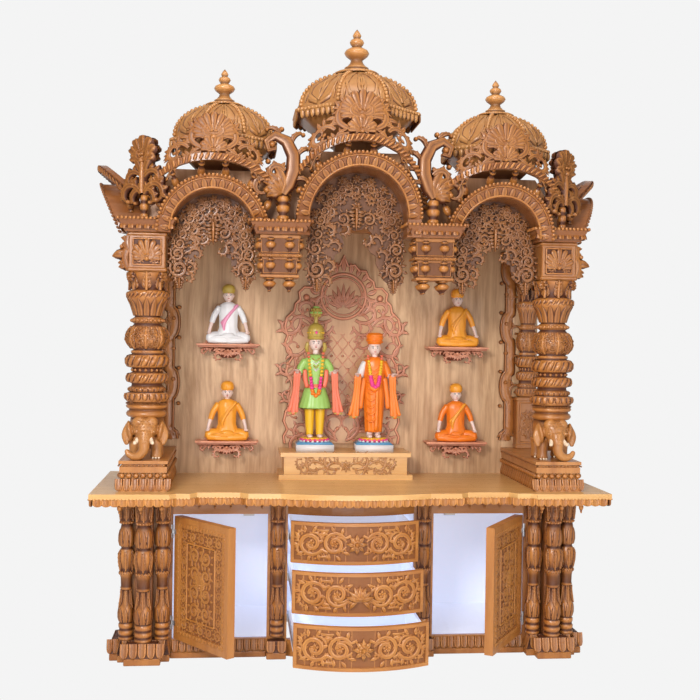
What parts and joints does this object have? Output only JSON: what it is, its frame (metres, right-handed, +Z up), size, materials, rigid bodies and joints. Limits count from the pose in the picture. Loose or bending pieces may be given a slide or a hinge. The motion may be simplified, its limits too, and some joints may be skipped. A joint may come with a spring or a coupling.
{
  "type": "household shrine cabinet",
  "caption": "Carved teak household shrine with a door and drawer base, elephant columns, three arches, curved eaves and ribbed domes.",
  "frame": {"origin": "middle of the footprint at floor level, with the doors and drawers as they stand open in the picture", "axes": "+Z up, -Y towards the viewer in front, +X to the viewer's right"},
  "size_m": [2.348, 1.124, 2.873],
  "materials": {
    "teak": "satin varnish",
    "teak_carved": "satin varnish",
    "teak_dark": "satin varnish",
    "wall_veneer": "matt veneer",
    "laminate": "white laminate",
    "steel": "zinc plated",
    "painted_green": "painted",
    "painted_orange": "painted",
    "catch": "matt"
  },
  "bodies": {
    "shrine": {"back_wall": "wall_veneer", "cabinet_back": "laminate", "cabinet_floors": "laminate", "cabinet_runners": "steel", "cabinet_walls": "laminate", "column_left": "teak_carved", "column_right": "teak_carved", "corner_post_left": "teak_carved", "corner_post_right": "teak_carved", "counter_top": "teak", "dome_centre": "teak", "dome_left": "teak", "dome_right": "teak", "door_catches": "catch", "elephant_left": "teak_carved", "elephant_plinth_left": "teak_carved", "elephant_plinth_right": "teak_carved", "elephant_right": "teak_carved", "face_frame": "teak", "figure_left": "painted_green", "figure_right": "painted_orange", "front_arches": "teak_carved", "front_board": "wall_veneer", "front_crests": "teak_carved", "front_rails": "teak_carved", "front_spindles": "teak_carved", "halo_panel": "teak_dark", "leaf_finials": "teak_carved", "pendant_left": "teak_carved", "pendant_right": "teak_carved", "post_hinges": "steel", "rear_columns": "teak_carved", "roof": "teak", "seated_figures": "painted_orange", "side_arches": "teak_carved", "side_boards": "wall_veneer", "side_rails": "teak_carved", "side_spindles": "teak_carved", "side_torans": "teak_carved", "throne": "teak", "torans": "teak_carved", "wall_shelves": "teak"},
    "door_left": {"door_left": "teak", "door_left_hinges": "steel"},
    "door_right": {"door_right": "teak", "door_right_hinges": "steel"},
    "drawer_top": {"drawer_top_box": "laminate", "drawer_top_front": "teak", "drawer_top_runners": "steel"},
    "drawer_middle": {"drawer_middle_box": "laminate", "drawer_middle_front": "teak", "drawer_middle_runners": "steel"},
    "drawer_bottom": {"drawer_bottom_box": "laminate", "drawer_bottom_front": "teak", "drawer_bottom_runners": "steel"}
  },
  "joints": [
    {"name": "door_left_hinge", "type": "hinge", "parent": "shrine", "child": "door_left", "pos_m": [-0.8, -0.038, 0.3625], "axis": [0, 0, 1], "range_deg": [-36, 54]},
    {"name": "door_right_hinge", "type": "hinge", "parent": "shrine", "child": "door_right", "pos_m": [0.8, -0.038, 0.3625], "axis": [0, 0, 1], "range_deg": [-58, 32]},
    {"name": "drawer_top_slide", "type": "slide", "parent": "shrine", "child": "drawer_top", "axis": [0, -1, 0], "range_m": [-0.155, 0.295]},
    {"name": "drawer_middle_slide", "type": "slide", "parent": "shrine", "child": "drawer_middle", "axis": [0, -1, 0], "range_m": [-0.295, 0.155]},
    {"name": "drawer_bottom_slide", "type": "slide", "parent": "shrine", "child": "drawer_bottom", "axis": [0, -1, 0], "range_m": [-0.44, 0.01]}
  ]
}
